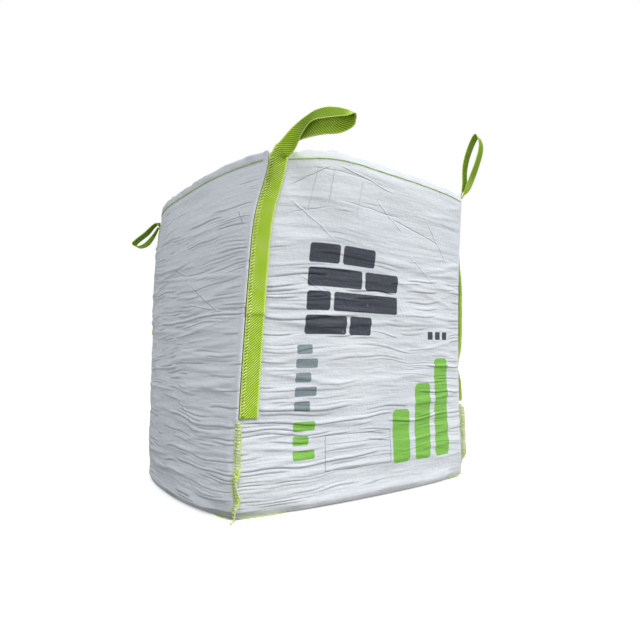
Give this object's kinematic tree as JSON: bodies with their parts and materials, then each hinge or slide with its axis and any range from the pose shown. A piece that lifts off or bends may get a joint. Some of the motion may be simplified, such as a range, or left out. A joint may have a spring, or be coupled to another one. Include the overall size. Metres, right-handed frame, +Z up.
{
  "type": "filled bulk bag",
  "caption": "Filled square woven bulk bag standing on its base, with sewn corner straps that form lift loops, a hemmed rim and a fabric cover over the mix.",
  "frame": {"origin": "on the floor, under the middle of the base panel", "axes": "+Z up; -Y is the printed front panel; +X to the right of someone facing that panel"},
  "size_m": [1.1063, 1.2562, 1.307],
  "materials": {
    "woven_cloth": "coated plain weave, satin",
    "lime_webbing": "twill webbing",
    "seam_thread": "spun thread",
    "hemp_mix": "loose lime-dusted hemp shiv"
  },
  "bodies": {
    "root": {"hemp_mix_fill": "hemp_mix", "base_panel": "woven_cloth", "top_skirt": "woven_cloth", "side_panel_front": "woven_cloth", "side_panel_right": "woven_cloth", "side_panel_back": "woven_cloth", "side_panel_left": "woven_cloth", "lift_loop_front_left": "lime_webbing", "lift_loop_front_right": "lime_webbing", "lift_loop_back_right": "lime_webbing", "lift_loop_back_left": "lime_webbing", "corner_overlock_front_left": "seam_thread", "corner_overlock_front_right": "seam_thread", "corner_overlock_back_right": "seam_thread", "corner_overlock_back_left": "seam_thread", "rim_chain_stitch_front": "seam_thread", "rim_chain_stitch_right": "seam_thread", "rim_chain_stitch_back": "seam_thread", "rim_chain_stitch_left": "seam_thread", "base_overlock_front": "seam_thread", "base_overlock_right": "seam_thread", "base_overlock_back": "seam_thread", "base_overlock_left": "seam_thread"}
  },
  "joints": []
}
